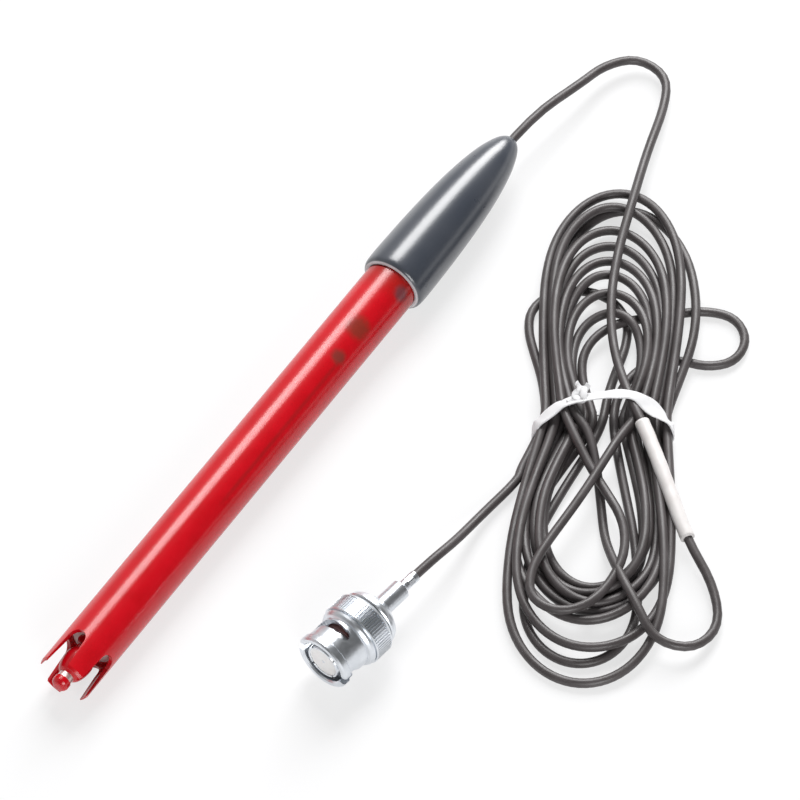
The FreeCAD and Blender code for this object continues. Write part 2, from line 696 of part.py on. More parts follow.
def thrust_washer():
    """The flat washer between the spring and the retaining ring."""
    return ring(WASHER_X, WASHER_X + WASHER_T, REAR_BORE_R - RUN_FIT, HUB_R + RUN_FIT)


def wave_washer():
    """The wavy spring washer in front of the flat one, drawn as pressed nearly flat."""
    inner = HUB_R + 2 * RUN_FIT
    outer = REAR_BORE_R - 2 * RUN_FIT
    steps = 12 * WAVES
    pieces = []
    for k in range(steps):
        a0 = 360.0 * k / steps
        a1 = 360.0 * (k + 1) / steps
        mid = (a0 + a1) / 2
        lift = (WAVE_HEIGHT - WAVE_T) / 2 * (1 + math.cos(math.radians(WAVES * mid)))
        wedge = Part.makeCylinder(outer, WAVE_T, V(WAVE_X + lift, 0, 0), V(1, 0, 0), a1 - a0)
        hole = rod(WAVE_X - 1, WAVE_X + 2, inner)
        pieces.append(around_x(wedge.cut(hole), a0))
    return pieces[0].multiFuse(pieces[1:])


def retaining_ring():
    """The split ring in the nut's groove."""
    inner = HUB_R + 3 * RUN_FIT
    shape = ring(RING_X, RING_X + RING_T, REAR_BORE_R + RING_GRIP, inner)
    gap = Part.makeCylinder(20, RING_T + 2, V(RING_X - 1, 0, 0), V(1, 0, 0), RING_GAP_DEG)
    return shape.cut(gap)


def ferrule():
    """The crimped sleeve behind the barrel, with a belled end and pressed flats."""
    shape = ring(FERRULE_START, FERRULE_END, FERRULE_R, CABLE_R)
    mid = (BARREL_END + FERRULE_END) / 2
    for k in range(6):
        box = Part.makeBox(1.6, 4, 1, V(mid - 0.8, -2, FERRULE_R - 0.09))
        shape = shape.cut(around_x(box, k * 60.0))
    return shape


def core_in_plug():
    """The cable's stripped core from the jacket's end to the pin."""
    return fused([rod(FLANGE_END, CABLE_PLUG_X, CABLE_R - 0.35), rod(FLANGE_END - 2.0, FLANGE_END, 0.3)])


def check_cord(name, points):
    """Prints a cord's radii and compares its volume with section times length."""
    path, radii = cord_path(points)
    tube = cord_tube(path, CABLE_R)
    ideal = math.pi * CABLE_R ** 2 * path.Length
    print(name, "length", round(path.Length, 1), "radii", radii, "volume ratio", round(tube.Volume / ideal, 4))


def main():
    """Builds each piece, places it and writes it to a file of its own."""
    os.makedirs("parts", exist_ok=True)
    on_electrode = {
        "body_tube": body_tube(),
        "sensor_stem": sensor_stem(),
        "end_piece": end_piece(),
        "platinum_band": ring(0, BAND_WIDTH, BAND_R, NECK_R),
        "stem_seal": stem_seal(),
        "ceramic_junction": junction(),
        "inner_glass_tube": glass_tube(),
        "platinum_lead": platinum_lead(),
        "reference_wire": reference_wire(),
        "reference_pellet": reference_pellet(),
        "gel_electrolyte": gel(),
        "chamber_stopper": stopper(),
        "cap": cap(),
        "cable_grip": cable_grip(),
        "core_in_cap": core_in_cap(),
        "screen_tail": screen_tail(),
        "centre_splice": centre_splice(),
        "shield_splice": shield_splice(),
    }
    on_plug = {
        "coupling_nut": coupling_nut(),
        "plug_body": plug_body(),
        "plug_insulator": insulator(),
        "centre_pin": centre_pin(),
        "face_gasket": gasket(),
        "thrust_washer": thrust_washer(),
        "wave_washer": wave_washer(),
        "retaining_ring": retaining_ring(),
        "crimp_ferrule": ferrule(),
        "core_in_plug": core_in_plug(),
    }
    placed = {
        "cable_lead": cable_lead(),
        "marker_sleeve": marker_sleeve(),
        "hank": hank(),
        "hank_tie": hank_tie(),
        "cable_tail": cable_tail(),
    }
    for name, shape in on_electrode.items():
        shape.Placement = electrode_place().multiply(shape.Placement)
        placed[name] = shape
    for name, shape in on_plug.items():
        shape.Placement = plug_place().multiply(shape.Placement)
        placed[name] = shape
    for name, shape in placed.items():
        solids = len(shape.Solids)
        if solids != 1 or not shape.isValid():
            print(name, "solids", solids, "valid", shape.isValid())
        if solids == 1:
            shape = shape.Solids[0]
        shape.exportStep("parts/" + name + ".step")
    check_cord("lead", lead_points())
    check_cord("tail", tail_points())
    print("tilt", round(TILT, 3), "pieces", len(placed))


main()
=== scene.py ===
import bpy
import json
import math
import numpy as np
from mathutils import Matrix, Vector


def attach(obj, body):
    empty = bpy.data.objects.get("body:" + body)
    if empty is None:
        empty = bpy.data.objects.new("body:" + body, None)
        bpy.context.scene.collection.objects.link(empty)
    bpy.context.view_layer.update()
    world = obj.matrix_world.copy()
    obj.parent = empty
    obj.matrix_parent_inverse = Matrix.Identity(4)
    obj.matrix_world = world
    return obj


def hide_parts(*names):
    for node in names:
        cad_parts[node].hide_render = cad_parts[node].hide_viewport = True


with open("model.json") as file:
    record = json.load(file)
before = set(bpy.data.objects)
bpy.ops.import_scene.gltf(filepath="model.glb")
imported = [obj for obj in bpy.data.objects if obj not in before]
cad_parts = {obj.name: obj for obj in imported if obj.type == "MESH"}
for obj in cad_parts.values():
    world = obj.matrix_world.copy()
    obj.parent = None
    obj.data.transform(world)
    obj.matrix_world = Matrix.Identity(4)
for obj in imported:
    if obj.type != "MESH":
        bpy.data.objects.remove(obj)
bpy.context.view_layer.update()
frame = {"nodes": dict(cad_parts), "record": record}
nodes = frame["nodes"]
MM = 0.001

# Camera: a long lens well above the floor, turned so that the electrode runs from lower left to upper right
CAMERA_HEIGHT_ANGLE = math.radians(53.5)
CAMERA_TURN = math.radians(56.354)
CAMERA_TARGET = np.array([18.215, -15.27, 0.0]) * MM
CAMERA_DISTANCE = 1.4
MM_PER_PIXEL = 0.2105
LENS = 36.0 * (CAMERA_DISTANCE / (MM_PER_PIXEL * MM)) / 800.0


def make_camera():
    """Camera whose right is CAMERA_TURN clockwise from +X and which looks down at CAMERA_HEIGHT_ANGLE."""
    right = np.array([math.cos(CAMERA_TURN), -math.sin(CAMERA_TURN), 0.0])
    level = np.array([math.sin(CAMERA_TURN), math.cos(CAMERA_TURN), 0.0])
    look = level * math.cos(CAMERA_HEIGHT_ANGLE) - np.array([0, 0, 1.0]) * math.sin(CAMERA_HEIGHT_ANGLE)
    up = np.cross(right, look)
    place = CAMERA_TARGET - look * CAMERA_DISTANCE
    data = bpy.data.cameras.new("camera")
    data.lens = LENS
    data.sensor_width = 36.0
    data.clip_end = 20.0
    camera = bpy.data.objects.new("camera", data)
    bpy.context.scene.collection.objects.link(camera)
    turn = Matrix([right, up, -look]).transposed().to_4x4()
    camera.matrix_world = Matrix.Translation(Vector(place)) @ turn
    bpy.context.scene.camera = camera


make_camera()

# Where the electrode and the plug lie, in millimetres; the middle and the nose are measured from the tips of
# the guard, and the ferrule's end from the front of the nut
TILT = math.atan(1.5 / 124.0)
MIDDLE = 82.2
NOSE = 166.5
PLUG_YAW = math.radians(-7.5)
PLUG_AT = (-50.5, -41.9)
PLUG_HEIGHT = 7.3
FERRULE_END = 28.9


def on_electrode(s):
    """Point on the electrode's axis, s millimetres from the tips of the guard."""
    return ((s - MIDDLE) * math.cos(TILT), 0.0, 6.0 * math.cos(TILT) + s * math.sin(TILT))


def on_plug(x):
    """Point on the plug's axis, x millimetres from the front of the nut."""
    return (PLUG_AT[0] + x * math.cos(PLUG_YAW), PLUG_AT[1] + x * math.sin(PLUG_YAW), PLUG_HEIGHT)


# Cable: its radius, and in millimetres the points that are given where it isn't coiled
CABLE_R = 1.0
LEAD = [
    on_electrode(NOSE - 4.5), on_electrode(NOSE + 8.0), (108.0, -2.8, 5.4), (116.0, -3.6, 3.8),
    (122.8, -8.0, 2.6), (122.4, -16.0, 2.0), (114.6, -20.2, 2.4), (101.0, -24.2, 4.8), (86.0, -29.6, 5.4),
    (72.9, -34.4, 5.6), (60.8, -40.3, 5.4), (50.6, -47.6, 5.5), (42.6, -56.2, 5.4), (36.0, -65.4, 5.75),
    (27.6, -75.6, 5.8), (18.6, -86.4, 5.75), (13.4, -96.0, 2.0), (5.6, -102.6, 1.4), (-3.2, -101.6, 1.3),
    (-6.6, -94.0, 1.5), (-2.0, -87.0, 3.0), (2.0, -81.0, 4.4),
]
LEAD_ON_HANK = slice(7, 16)
LEAD_AFTER_LOOP = slice(18, None)
LEAD_DROP_HEIGHT = 7.0
TAIL = [
    (14.0, -48.0, 1.3), (2.0, -46.6, 1.9), (-8.6, -47.0, 5.2), on_plug(FERRULE_END + 5.0),
    on_plug(FERRULE_END - 2.0),
]

# Hank: its middle is at the tie, its long axis runs to the far end
HANK_MIDDLE = np.array([37.0, -54.7])
HANK_ALONG = np.array([0.862, 0.507])
HANK_ALONG = HANK_ALONG / np.linalg.norm(HANK_ALONG)
HANK_ACROSS = np.array([HANK_ALONG[1], -HANK_ALONG[0]])

# One row a turn, in millimetres: slot in the tie going out, far loop's left side, right side and reach,
# slot coming back, near loop's right side, left side and reach
TURNS = np.array([
    [-7.4, -11.4, 10.0, 42.0, 6.8, 10.2, -13.4, 47.5],
    [-9.2, -12.6, 11.6, 50.5, 9.0, 13.2, -18.4, 67.0],
    [-12.6, -13.6, 14.6, 60.5, 12.7, 14.2, -17.6, 59.5],
    [-10.4, -12.2, 12.6, 56.0, 10.4, 13.0, -18.2, 52.5],
    [-11.6, -13.0, 18.0, 56.5, 11.6, 13.6, -15.6, 49.5],
    [-8.4, -10.8, 10.8, 46.5, 8.0, 11.6, -13.0, 48.0],
    [-5.2, -9.4, 8.6, 32.5, 4.8, 9.4, -14.0, 45.5],
    [-6.4, -10.2, 9.0, 37.5, 5.9, 10.4, -12.4, 43.5],
    [-4.2, -8.8, 7.8, 27.0, 3.8, 8.8, -14.6, 46.5],
])
# Loose parts of the hank in (along, across): the lead's way back to the tie, the loop that lies on top, the
# turn with a bight, the near loop after it, and the last half turn with its bulge
LEAD_BACK = [(-36.3, 2.4), (-29.8, 0.7), (-21.8, -0.3), (-12.6, -1.6), (-5.0, -3.6)]
TOP_LOOP = [
    (-6.1, 3.2), (-12.9, 0.3), (-20.5, -3.0), (-28.0, -6.9), (-35.4, -11.0), (-42.0, -14.0), (-48.6, -14.2),
    (-52.0, -8.6), (-50.0, -2.2), (-43.6, 2.6), (-35.6, 5.4), (-27.6, 4.4), (-20.6, 0.8), (-14.5, -2.8),
    (-7.4, -6.2),
]
BIGHT_TURN = [
    (0.0, -3.6), (5.0, -5.2), (10.5, -6.6), (16.0, -6.4), (21.0, -3.6), (25.0, 1.6), (27.6, 8.0),
    (29.0, 14.0), (30.2, 20.0), (28.8, 26.4), (23.0, 29.2), (17.0, 26.8), (15.2, 21.0), (16.8, 15.0),
    (16.2, 9.4), (11.8, 4.8), (5.6, 2.4), (0.0, 2.2),
]
BIGHT_NEAR = (9.4, -16.2, 62.0)
LAST_TURN = [
    (0.0, -1.6), (6.0, -0.8), (12.5, 1.0), (20.0, 3.4), (27.0, 3.6), (32.6, -0.4), (34.4, -6.6),
    (33.0, -12.8), (28.4, -17.0), (22.4, -17.0), (16.6, -15.2), (11.0, -13.4), (5.4, -12.6), (0.0, -12.9),
    (-7.0, -14.6), (-14.0, -17.2),
]
FAR_SLIM = 1.75
NEAR_SLIM = 1.3
SIDE = np.array([0.16, 0.40, 0.70])
BEND = np.radians(np.array([2.0, 26.0, 48.0, 69.0, 90.0, 111.0, 132.0, 154.0, 178.0]))


def lobe(reach, first, start, end, last, slim):
    """One loop of the hank in (along, across): out from slot first to the side start, half an ellipse between
    start and end that is slim times as long as it is half wide, or less long where it would bend too tightly,
    back to slot last. The sides ease out of the slots by half a smooth step and half a sine."""
    half = abs(end - start) / 2
    slim = min(slim, half / 6.0)
    centre = (start + end) / 2
    foot = reach - slim * half
    f = np.minimum(SIDE / 0.88, 1.0)
    ease = 0.5 * f * f * (3 - 2 * f) + 0.5 * np.sin(np.pi * f / 2)
    out = np.stack([SIDE * foot, first + (start - first) * ease], axis=1)
    arc = np.stack([foot + slim * half * np.sin(BEND), centre + (start - centre) * np.cos(BEND)], axis=1)
    back = np.stack([SIDE * foot, last + (end - last) * ease], axis=1)[::-1]
    return np.vstack([out, arc, back])


def hank_plan():
    """The hank in (along, across) from the lead to the tail, as a list of turns."""
    near = np.array([-1.0, 1.0])
    runs = [np.array(LEAD_BACK)]
    for k, row in enumerate(TURNS):
        up, left, right, reach, down, near_right, near_left, near_reach = row
        following = TURNS[k + 1][0] if k + 1 < len(TURNS) else BIGHT_TURN[0][1]
        far = lobe(reach, up, left, right, down, FAR_SLIM)
        close = lobe(near_reach, down, near_right, near_left, following, NEAR_SLIM) * near
        if k == 0:
            close = np.array(TOP_LOOP)
        runs.append(np.vstack([[[0.0, up]], far, [[0.0, down]], close]))
    right, left, reach = BIGHT_NEAR
    close = lobe(reach, BIGHT_TURN[-1][1], right, left, LAST_TURN[0][1], NEAR_SLIM) * near
    runs.append(np.vstack([np.array(BIGHT_TURN), close]))
    runs.append(np.array(LAST_TURN))
    return runs


def to_floor(plan):
    """Points from (along, across) in the hank to x and y on the floor."""
    return HANK_MIDDLE + plan[:, :1] * HANK_ALONG + plan[:, 1:2] * HANK_ACROSS


# Settling of the cable: places a control point, rounds, rounds between two searches for near strands, how far
# it sinks in a round and in one of the last rounds, how much of a push is taken, how much heights and side
# shifts are evened, and the share of its side shift that stays
PLACES = 8
ROUNDS = 200
LAST_ROUNDS = 50
SEARCH_ROUNDS = 20
SINK = 0.055
LAST_SINK = 0.01
PUSH = 1.1
EVEN = 0.12
SIDE_EVEN = 0.25
HOME_PULL = 0.965
# Strands are near within this many radii, and cross where the cosine of their angle is less than this
NEAR_RADII = 3.2
CROSSING_COSINE = 0.93
# Reach of the tie along the hank, and half of what it holds together across it, in millimetres
TIE_REACH = 3.0
TIED_HALF_WIDTH = 12.6
# Height between two turns before they settle
LAYER = 0.4


def shares():
    """For places round a control point of a smooth curve of second degree, the shares of the point before,
    the point itself and the point after."""
    t = (np.arange(PLACES) + 0.5) / PLACES
    before = (1 - t) ** 2 / 2
    after = t ** 2 / 2
    return np.stack([before, 1 - before - after, after], axis=1)


def curve_places(points):
    """Places on the curve, the same number round each inner control point."""
    three = np.stack([points[:-2], points[1:-1], points[2:]], axis=1)
    return np.einsum("tk,nkc->ntc", shares(), three).reshape(-1, 3)


def near_pairs(here, owner, level):
    """Pairs of places on different strands that are within 1.6 diameters in plan: their numbers, whether the
    strands cross there, and 1 or -1 as the first or the second lies above."""
    way = np.gradient(here, axis=0)[:, :2]
    way = way / (np.linalg.norm(way, axis=1)[:, None] + 1e-9)
    flat = here[:, :2].astype(np.float32)
    gap = ((flat[:, None] - flat[None, :]) ** 2).sum(axis=2)
    a, b = np.nonzero(gap < (NEAR_RADII * CABLE_R) ** 2)
    keep = (a < b) & (np.abs(owner[a] - owner[b]) > 2)
    a = a[keep]
    b = b[keep]
    crossing = np.abs((way[a] * way[b]).sum(axis=1)) < CROSSING_COSINE
    above = np.where(level[owner[a]] >= level[owner[b]], 1.0, -1.0)
    return a, b, crossing, above


def parting(here, a, b, crossing, above):
    """How far each pair moves apart in a round: upright where strands cross, straight apart where they run
    side by side, until their middles are a diameter apart."""
    width = 2 * CABLE_R
    apart = here[a] - here[b]
    flat_gap = np.hypot(apart[:, 0], apart[:, 1])
    need = np.sqrt(np.clip(width ** 2 - flat_gap ** 2, 0, None))
    lack = np.where(crossing & (need > 0), np.clip(need - above * apart[:, 2], 0, None), 0.0)
    dist = np.linalg.norm(apart, axis=1) + 1e-6
    over = np.where(crossing, 0.0, np.clip(width - dist, 0, None))
    push = 0.5 * (over / dist)[:, None] * apart
    push[:, 2] += 0.5 * above * lack
    return push, (lack + over) > 0


def settle(points, level, loose):
    """Lets the cable sink until it lies on the floor and on itself. Each round parts the places that are
    nearer than a diameter, lowers the loose control points a little, evens heights and side shifts along the
    cable, and keeps the strands inside the tie."""
    home = points.copy()
    share = shares()
    n = len(points)
    owner = np.repeat(np.arange(1, n - 1), PLACES)
    share = np.tile(share, (n - 2, 1))
    along = (home[:, :2] - HANK_MIDDLE) @ HANK_ALONG
    tied = loose & (np.abs(along) < TIE_REACH)
    for k in range(ROUNDS):
        here = curve_places(points)
        if k % SEARCH_ROUNDS == 0:
            a, b, crossing, above = near_pairs(here, owner, level)
            both = np.concatenate([a, b])
            target = np.concatenate([owner[both] + s for s in (-1, 0, 1)])
            weight = np.concatenate([share[both, s] for s in range(3)])
        push, hit = parting(here, a, b, crossing, above)
        pushes = np.tile(np.vstack([push, -push]), (3, 1)) * weight[:, None]
        mass = np.bincount(target, weights=weight * np.tile(hit, 6), minlength=n)
        move = np.stack([np.bincount(target, weights=pushes[:, c], minlength=n) for c in range(3)], axis=1)
        points = points + np.where(loose[:, None], PUSH * move / np.maximum(mass, 0.25)[:, None], 0.0)
        height = points[:, 2] - (SINK if k < ROUNDS - LAST_ROUNDS else LAST_SINK)
        height[1:-1] += EVEN * ((height[:-2] + height[2:]) / 2 - height[1:-1])
        points[:, 2] = np.where(loose, np.maximum(height, CABLE_R), points[:, 2])
        shift = points[:, :2] - home[:, :2]
        shift[1:-1] += SIDE_EVEN * ((shift[:-2] + shift[2:]) / 2 - shift[1:-1])
        across = (home[:, :2] + shift - HANK_MIDDLE) @ HANK_ACROSS
        inward = np.where(tied, np.clip(across, -TIED_HALF_WIDTH, TIED_HALF_WIDTH) - across, 0.0)
        shift = HOME_PULL * shift + inward[:, None] * HANK_ACROSS
        points[:, :2] = np.where(loose[:, None], home[:, :2] + shift, points[:, :2])
    return points


def cable_route():
    """Whole route in millimetres: lead, hank and tail. The tail's turn lies lowest and the lead on top; the
    lead before the hank, its loop beyond the sleeve and the tail keep their points."""
    lead = np.array(LEAD)
    runs = hank_plan()
    rows = [lead]
    level = [np.full(len(lead), len(runs) + 2.0)]
    loose = [np.zeros(len(lead), dtype=bool)]
    loose[0][LEAD_ON_HANK] = True
    loose[0][LEAD_AFTER_LOOP] = True
    lead[LEAD_ON_HANK, 2] = LEAD_DROP_HEIGHT
    for k, plan in enumerate(runs):
        height = CABLE_R + LAYER * (len(runs) - k)
        rows.append(np.column_stack([to_floor(plan), np.full(len(plan), height)]))
        level.append(np.full(len(plan), len(runs) - k - (1.5 if k == 0 else 0.0)))
        loose.append(np.ones(len(plan), dtype=bool))
    rows.append(np.array(TAIL))
    level.append(np.full(len(TAIL), -1.0))
    loose.append(np.array([True] + [False] * (len(TAIL) - 1)))
    return settle(np.vstack(rows), np.concatenate(level), np.concatenate(loose))


def make_cable(route):
    """The cable as one open smooth curve with a round section. Its radius is set at the points, because the
    curve's box reaches that much past them."""
    data = bpy.data.curves.new("cable", "CURVE")
    data.dimensions = "3D"
    data.resolution_u = 4
    data.bevel_depth = 1.0
    data.bevel_resolution = 3
    data.use_fill_caps = True
    spline = data.splines.new("NURBS")
    spline.points.add(len(route) - 1)
    flat = np.column_stack([route * MM, np.ones(len(route))]).ravel()
    spline.points.foreach_set("co", flat)
    spline.points.foreach_set("radius", np.full(len(route), CABLE_R * MM))
    spline.order_u = 3
    spline.use_endpoint_u = True
    piece = bpy.data.objects.new("cable", data)
    bpy.context.scene.collection.objects.link(piece)
    return piece


def line_of(piece):
    """Points along a curve's own line, read from it with no section, in metres."""
    bare = piece.data.copy()
    bare.bevel_depth = 0.0
    bare.resolution_u = 8
    helper = bpy.data.objects.new("line", bare)
    bpy.context.scene.collection.objects.link(helper)
    bpy.context.view_layer.update()
    mesh = bpy.data.meshes.new_from_object(helper.evaluated_get(bpy.context.evaluated_depsgraph_get()))
    points = np.zeros(len(mesh.vertices) * 3)
    mesh.vertices.foreach_get("co", points)
    bpy.data.objects.remove(helper)
    bpy.data.meshes.remove(mesh)
    bpy.data.curves.remove(bare)
    return points.reshape(-1, 3)


route = cable_route()
cable = make_cable(route)
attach(cable, "electrode")
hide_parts("cable_lead", "hank", "cable_tail")
cable_line = line_of(cable)


def new_piece(name, points, faces, body):
    """A smooth mesh piece from arrays of points in metres and faces."""
    mesh = bpy.data.meshes.new(name)
    mesh.from_pydata(points.tolist(), [], faces)
    mesh.update()
    mesh.polygons.foreach_set("use_smooth", np.ones(len(mesh.polygons), dtype=bool))
    piece = bpy.data.objects.new(name, mesh)
    bpy.context.scene.collection.objects.link(piece)
    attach(piece, body)
    return piece


def tangents(path, closed=False):
    """Unit directions along a path: each from the point before to the point after."""
    if closed:
        d = np.roll(path, -1, axis=0) - np.roll(path, 1, axis=0)
    else:
        d = np.gradient(path, axis=0)
    return d / np.linalg.norm(d, axis=1)[:, None]


def across_path(path, face_way, closed=False):
    """Two unit directions across a path at each of its points: sideways, and up, which is face_way less its
    share along the path."""
    t = tangents(path, closed)
    up = face_way - (face_way * t).sum(axis=1)[:, None] * t
    up = up / np.linalg.norm(up, axis=1)[:, None]
    return np.cross(t, up), up


def ring_faces(rings, corners, closed=False):
    """Faces between rings of points: each corner of a ring with the next corner and the same two of the next
    ring. The last ring meets the first one, or both ends get a face."""
    i = np.arange(rings if closed else rings - 1)[:, None]
    j = (i + 1) % rings
    k = np.arange(corners)[None, :]
    m = (k + 1) % corners
    quads = np.stack([i * corners + k, i * corners + m, j * corners + m, j * corners + k], axis=2)
    faces = quads.reshape(-1, 4).tolist()
    if not closed:
        faces.append(list(range(corners))[::-1])
        faces.append(list(range((rings - 1) * corners, rings * corners)))
    return faces


STRIP_CORNERS = 12


def strip(path, face_way, half_wide, half_thick, closed=False):
    """A flat strip carried along a path: at each point a rounded oblong of half_wide across and half_thick
    along face_way, from powers of cosine and sine. Returns points and faces."""
    side, up = across_path(path, face_way, closed)
    a = np.linspace(0, 2 * np.pi, STRIP_CORNERS, endpoint=False)
    cx = np.sign(np.cos(a)) * np.abs(np.cos(a)) ** 0.5
    cy = np.sign(np.sin(a)) * np.abs(np.sin(a)) ** 0.5
    wide = np.broadcast_to(half_wide, len(path))[:, None, None]
    thick = np.broadcast_to(half_thick, len(path))[:, None, None]
    grid = path[:, None] + wide * cx[None, :, None] * side[:, None] + thick * cy[None, :, None] * up[:, None]
    return grid.reshape(-1, 3), ring_faces(len(path), STRIP_CORNERS, closed)


def joined(parts):
    """Several (points, faces) as one."""
    points = []
    faces = []
    base = 0
    for p, f in parts:
        points.append(p)
        faces += [[v + base for v in face] for face in f]
        base += len(p)
    return np.vstack(points), faces


# Cap: its outline in (place along the electrode, radius), millimetres, fuller at the nose than a plain ogive
CAP_OUTSIDE = np.array([
    (120.0, 5.95), (120.0, 6.3), (120.1, 6.7), (120.4, 7.05), (121.0, 7.28), (122.4, 7.38), (125.0, 7.38),
    (129.0, 7.3), (134.0, 7.17), (139.5, 6.93), (145.0, 6.58), (150.0, 6.12), (155.0, 5.46), (159.5, 4.6),
    (162.8, 3.62), (164.8, 2.78), (165.8, 2.1), (166.35, 1.55), (166.5, 1.12),
])
CAP_INSIDE = np.array([
    (158.1, 1.12), (158.0, 2.5), (152.0, 2.5), (146.0, 5.3), (130.1, 5.3), (130.0, 5.75), (120.2, 5.75),
])
CAP_STEPS = 6
CAP_ROUND = 96


def rounded(points, steps):
    """Smooth curve through flat points: between two points the cubic that leaves each of them along the chord
    of its neighbours."""
    p = np.vstack([2 * points[0] - points[1], points, 2 * points[-1] - points[-2]])[:, None]
    a, b, c, d = p[:-3], p[1:-2], p[2:-1], p[3:]
    t = (np.arange(steps) / steps)[None, :, None]
    curve = b + 0.5 * ((c - a) * t + (2 * a - 5 * b + 4 * c - d) * t ** 2 + (3 * b - a - 3 * c + d) * t ** 3)
    return np.vstack([curve.reshape(-1, 2), points[-1:]])


def cap_moulded():
    """The cap's outline turned round the electrode's axis: a ring of points at radius r about the axis for
    every place on the outline."""
    line = np.vstack([rounded(CAP_OUTSIDE, CAP_STEPS), CAP_INSIDE])
    turn = np.linspace(0, 2 * np.pi, CAP_ROUND, endpoint=False)
    up = np.array([-math.sin(TILT), 0.0, math.cos(TILT)])
    centre = np.array([on_electrode(place) for place in line[:, 0]])
    ring = np.cos(turn)[:, None] * np.array([0.0, 1.0, 0.0]) + np.sin(turn)[:, None] * up
    points = centre[:, None] + line[:, 1][:, None, None] * ring[None]
    faces = ring_faces(len(line), CAP_ROUND, closed=True)
    return new_piece("cap_moulded", points.reshape(-1, 3) * MM, faces, "electrode")


cap = cap_moulded()
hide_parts("cap")

# Marker sleeve: a shrunk tube on the lead, from the tie towards the near end
SLEEVE_FROM = np.array([37.6, -63.3]) * MM
SLEEVE_TO = np.array([18.2, -85.9]) * MM
SLEEVE_R = 1.55
SLEEVE_RINGS = 60
SLEEVE_ROUND = 20
LEAD_SHARE = 0.2


def marker_sleeve():
    """Tube round the cable's line between the places on the lead that are nearest to two points: at each of
    its rings a circle whose radius is SLEEVE_R plus two slow waves."""
    lead_part = cable_line[: int(len(cable_line) * LEAD_SHARE)]
    a = int(np.argmin(np.linalg.norm(lead_part[:, :2] - SLEEVE_FROM, axis=1)))
    b = int(np.argmin(np.linalg.norm(lead_part[:, :2] - SLEEVE_TO, axis=1)))
    path = lead_part[a:b + 1]
    f = np.linspace(0, 1, SLEEVE_RINGS)
    at = np.linspace(0, len(path) - 1, SLEEVE_RINGS)
    path = np.stack([np.interp(at, np.arange(len(path)), path[:, c]) for c in range(3)], axis=1)
    swell = (SLEEVE_R + 0.03 * np.sin(f * 19.0) + 0.02 * np.sin(f * 47.0 + 1.0)) * MM
    ring = np.linspace(0, 2 * np.pi, SLEEVE_ROUND, endpoint=False)
    side, up = across_path(path, np.array([0, 0, 1.0]))
    grid = path[:, None] + swell[:, None, None] * (
        np.cos(ring)[None, :, None] * side[:, None] + np.sin(ring)[None, :, None] * up[:, None])
    faces = ring_faces(SLEEVE_RINGS, SLEEVE_ROUND)
    return new_piece("marker_sleeve_shrunk", grid.reshape(-1, 3), faces, "electrode")


sleeve = marker_sleeve()
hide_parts("marker_sleeve")

# Tie: a strip drawn round all the strands at the hank's middle, with its knot on top, across from the middle
TIE_HALF_WIDE = 1.65 * MM
END_HALF_WIDE = 0.85 * MM
TIE_HALF_THICK = 0.22 * MM
TIE_POINTS = 160
TIE_SLACK = 0.05
KNOT_ACROSS = -5.5
# How far the tie stands forward at its middle, and how strongly it curves back at both sides
TIE_FORWARD = 2.8
TIE_CURVE = 0.03
# Ends of the tie: start and end in (along, across) from the knot, rise, and sideways bow
KNOT_ENDS = [
    ((0.0, 0.4), (2.6, -1.1), 0.9, 0.5),
    ((0.0, -0.3), (2.4, 1.5), 0.7, -0.5),
    ((-0.2, 0.0), (-1.8, -2.6), -0.6, 0.4),
]


def hull(points):
    """Convex outline of flat points, counterclockwise, by the two-chain method."""
    order = points[np.lexsort((points[:, 1], points[:, 0]))]
    chains = []
    for run in (order, order[::-1]):
        chain = []
        for p in run:
            while len(chain) > 1:
                u = chain[-1] - chain[-2]
                w = p - chain[-2]
                if u[0] * w[1] - u[1] * w[0] > 0:
                    break
                chain.pop()
            chain.append(p)
        chains += chain[:-1]
    return np.array(chains)


def tie_bow(across):
    """How far the tie lies along the hank from its middle: forward in the middle, less a share of the square
    of the place across."""
    return TIE_FORWARD - TIE_CURVE * across ** 2


def tie_loop():
    """Closed path of the tie in (across, height): the convex outline of circles round the strands that pass
    under it, with evenly spaced points."""
    flat = cable_line[:, :2] / MM - HANK_MIDDLE
    along = flat @ HANK_ALONG
    across = flat @ HANK_ACROSS
    near = (np.abs(along - tie_bow(across)) < 1.8) & (np.abs(across) < 16)
    a = np.linspace(0, 2 * np.pi, 24, endpoint=False)
    reach = CABLE_R + TIE_HALF_THICK / MM + TIE_SLACK
    cx = across[near][:, None] + reach * np.cos(a)
    cz = np.maximum(cable_line[near, 2][:, None] / MM + reach * np.sin(a), TIE_HALF_THICK / MM + 0.02)
    outline = hull(np.column_stack([cx.ravel(), cz.ravel()]))
    closed = np.vstack([outline, outline[:1]])
    s = np.insert(np.cumsum(np.linalg.norm(np.diff(closed, axis=0), axis=1)), 0, 0)
    at = np.linspace(0, s[-1], TIE_POINTS, endpoint=False)
    return np.column_stack([np.interp(at, s, closed[:, 0]), np.interp(at, s, closed[:, 1])])


def in_space(along, across, height):
    """Arrays in the hank's own directions, in millimetres, as points in metres."""
    flat = HANK_MIDDLE + np.asarray(along)[:, None] * HANK_ALONG + np.asarray(across)[:, None] * HANK_ACROSS
    return np.column_stack([flat, height]) * MM


